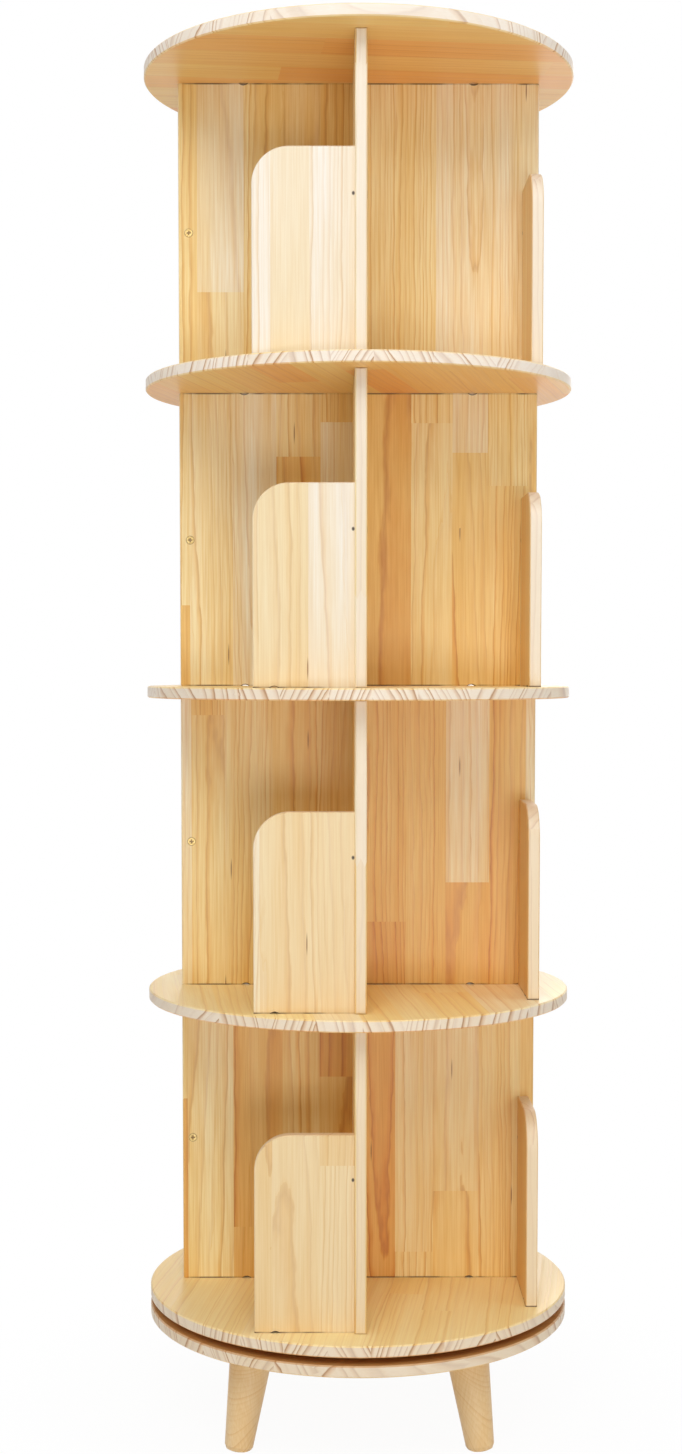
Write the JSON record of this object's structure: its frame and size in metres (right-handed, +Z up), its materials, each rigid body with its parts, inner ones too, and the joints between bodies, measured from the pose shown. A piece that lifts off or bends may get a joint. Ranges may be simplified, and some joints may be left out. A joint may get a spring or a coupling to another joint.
{
  "type": "revolving bookcase",
  "caption": "Round free-standing bookcase of solid pine that turns on a low legged base, with open book compartments between crossed uprights and low rounded stop boards.",
  "frame": {"origin": "on the floor, under the turning axis", "axes": "+Z up along the turning axis, -Y to the front, +X to the right"},
  "size_m": [0.4499, 0.45, 1.43],
  "materials": {
    "pine_disc": "clear satin lacquer on edge-glued pine",
    "pine_panel": "clear satin lacquer on edge-glued pine",
    "pine_stop": "clear satin lacquer on edge-glued pine",
    "leg_wood": "clear satin lacquer on turned pine",
    "zinc_steel": "bright zinc on pressed steel",
    "ball_steel": "polished bearing steel",
    "cage_plastic": "moulded nylon"
  },
  "bodies": {
    "base": {"base_board": "pine_disc", "leg_back_right": "leg_wood", "leg_back_left": "leg_wood", "leg_front_left": "leg_wood", "leg_front_right": "leg_wood", "lower_bearing_plate": "zinc_steel"},
    "ball_ring": {"ball_cage": "cage_plastic", "bearing_balls": "ball_steel"},
    "turntable": {"upper_bearing_plate": "zinc_steel", "deck_board": "pine_disc", "shelf_board_1": "pine_disc", "shelf_board_2": "pine_disc", "shelf_board_3": "pine_disc", "top_board": "pine_disc", "full_panel_1": "pine_panel", "front_half_panel_1": "pine_panel", "back_half_panel_1": "pine_panel", "full_panel_2": "pine_panel", "front_half_panel_2": "pine_panel", "back_half_panel_2": "pine_panel", "full_panel_3": "pine_panel", "front_half_panel_3": "pine_panel", "back_half_panel_3": "pine_panel", "full_panel_4": "pine_panel", "front_half_panel_4": "pine_panel", "back_half_panel_4": "pine_panel", "front_stop_1": "pine_stop", "right_stop_1": "pine_stop", "back_stop_1": "pine_stop", "left_stop_1": "pine_stop", "front_stop_2": "pine_stop", "right_stop_2": "pine_stop", "back_stop_2": "pine_stop", "left_stop_2": "pine_stop", "front_stop_3": "pine_stop", "right_stop_3": "pine_stop", "back_stop_3": "pine_stop", "left_stop_3": "pine_stop", "front_stop_4": "pine_stop", "right_stop_4": "pine_stop", "back_stop_4": "pine_stop", "left_stop_4": "pine_stop"}
  },
  "joints": [
    {"name": "turntable_spin", "type": "hinge", "parent": "base", "child": "turntable", "pos_m": [0, 0, 0.126], "axis": [0, 0, 1], "continuous": true},
    {"name": "ball_ring_spin", "type": "hinge", "parent": "base", "child": "ball_ring", "pos_m": [0, 0, 0.126], "axis": [0, 0, 1], "continuous": true}
  ],
  "couplings": [
    {"joint": "ball_ring_spin", "follows": "turntable_spin", "ratio": 0.5}
  ]
}
